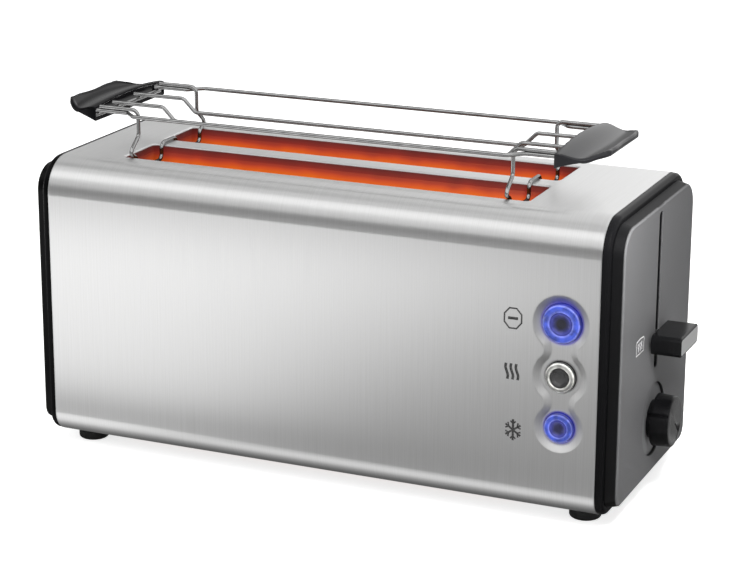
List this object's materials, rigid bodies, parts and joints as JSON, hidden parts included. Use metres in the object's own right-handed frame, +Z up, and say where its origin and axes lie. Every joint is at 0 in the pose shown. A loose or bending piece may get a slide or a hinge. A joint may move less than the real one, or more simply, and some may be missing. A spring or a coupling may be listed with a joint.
{
  "type": "long slot toaster",
  "caption": "Long slot toaster with a wrapped brushed steel body, black ends, two long bread slots, a lever, a browning knob, push buttons, crumb tray and a lift-off warming rack.",
  "frame": {"origin": "on the table, under the middle of the whole length from the lever's face to the left rack handle and the middle of the depth from the buttons to the back", "axes": "+Z up, +X along the slots towards the lever and knob, -Y towards the push buttons"},
  "size_m": [0.4072, 0.154, 0.2215],
  "materials": {
    "brushed_sleeve": "brushed satin",
    "end_plastic": "satin",
    "panel_plastic": "satin",
    "gloss_black": "gloss",
    "silver_inlay": "satin",
    "rubber": "matt",
    "zinc_steel": "satin",
    "bright_sheet": "bright",
    "mica": "matt",
    "glowing_ribbon": "glowing",
    "guard_wire": "bright",
    "magnet_iron": "satin",
    "circuit_board": "satin",
    "switch_plastic": "satin",
    "button_cap": "gloss",
    "clear_ring": "clear",
    "blue_ring": "lit",
    "chrome_wire": "polished"
  },
  "bodies": {
    "base": {"steel_sleeve": "brushed_sleeve", "right_end_frame": "end_plastic", "left_end_frame": "end_plastic", "left_end_cover": "end_plastic", "control_panel": "panel_plastic", "left_front_foot": "rubber", "left_back_foot": "rubber", "right_front_foot": "rubber", "right_back_foot": "rubber", "cord_gland": "rubber", "base_plate": "zinc_steel", "foot_screws": "zinc_steel", "chassis_plate_left": "zinc_steel", "chassis_plate_right": "zinc_steel", "guide_rod": "zinc_steel", "front_reflector": "bright_sheet", "back_reflector": "bright_sheet", "front_slot_throat": "bright_sheet", "back_slot_throat": "bright_sheet", "front_heater_board": "mica", "centre_heater_board": "mica", "back_heater_board": "mica", "front_heater_ribbon": "glowing_ribbon", "centre_heater_ribbon": "glowing_ribbon", "back_heater_ribbon": "glowing_ribbon", "front_outer_guard": "guard_wire", "front_inner_guard": "guard_wire", "back_inner_guard": "guard_wire", "back_outer_guard": "guard_wire", "electromagnet": "magnet_iron", "main_board": "circuit_board", "button_board": "circuit_board", "browning_potentiometer": "switch_plastic", "button_carrier": "switch_plastic"},
    "lift": {"carriage": "zinc_steel", "lever_knob": "gloss_black", "lever_inlay": "silver_inlay", "latch_armature": "guard_wire", "front_bread_lift": "guard_wire", "back_bread_lift": "guard_wire", "return_spring": "guard_wire"},
    "knob": {"browning_knob": "gloss_black", "knob_shaft": "switch_plastic"},
    "stop_button": {"stop_button_cap": "button_cap", "stop_light_ring": "blue_ring"},
    "reheat_button": {"reheat_button_cap": "button_cap", "reheat_light_ring": "clear_ring"},
    "defrost_button": {"defrost_button_cap": "button_cap", "defrost_light_ring": "blue_ring"},
    "tray": {"crumb_tray": "zinc_steel", "tray_pull": "end_plastic"},
    "rack": {"rack_front_rail": "chrome_wire", "rack_back_rail": "chrome_wire", "rack_inner_front_wire": "chrome_wire", "rack_inner_back_wire": "chrome_wire", "rack_left_leg_wire": "chrome_wire", "rack_right_leg_wire": "chrome_wire", "rack_cross_wires": "chrome_wire", "rack_left_handle": "gloss_black", "rack_right_handle": "gloss_black"}
  },
  "joints": [
    {"name": "lever_slide", "type": "slide", "parent": "base", "child": "lift", "axis": [0, 0, 1], "range_m": [0, 0.073], "deforming": ["return_spring"]},
    {"name": "browning_turn", "type": "hinge", "parent": "base", "child": "knob", "pos_m": [0.18975, 0.0005, 0.0485], "axis": [1, 0, 0], "range_deg": [-130, 150]},
    {"name": "stop_press", "type": "slide", "parent": "base", "child": "stop_button", "axis": [0, 1, 0], "range_m": [0, 0.0015], "stiffness_N_per_m": 500, "springref_m": -0.001},
    {"name": "reheat_press", "type": "slide", "parent": "base", "child": "reheat_button", "axis": [0, 1, 0], "range_m": [0, 0.0015], "stiffness_N_per_m": 500, "springref_m": -0.001},
    {"name": "defrost_press", "type": "slide", "parent": "base", "child": "defrost_button", "axis": [0, 1, 0], "range_m": [0, 0.0015], "stiffness_N_per_m": 500, "springref_m": -0.001},
    {"name": "tray_pull_out", "type": "slide", "parent": "base", "child": "tray", "axis": [-1, 0, 0], "range_m": [0, 0.3]},
    {"name": "rack_lift_off", "type": "slide", "parent": "base", "child": "rack", "axis": [0, 0, 1], "range_m": [0, 0.06]}
  ]
}
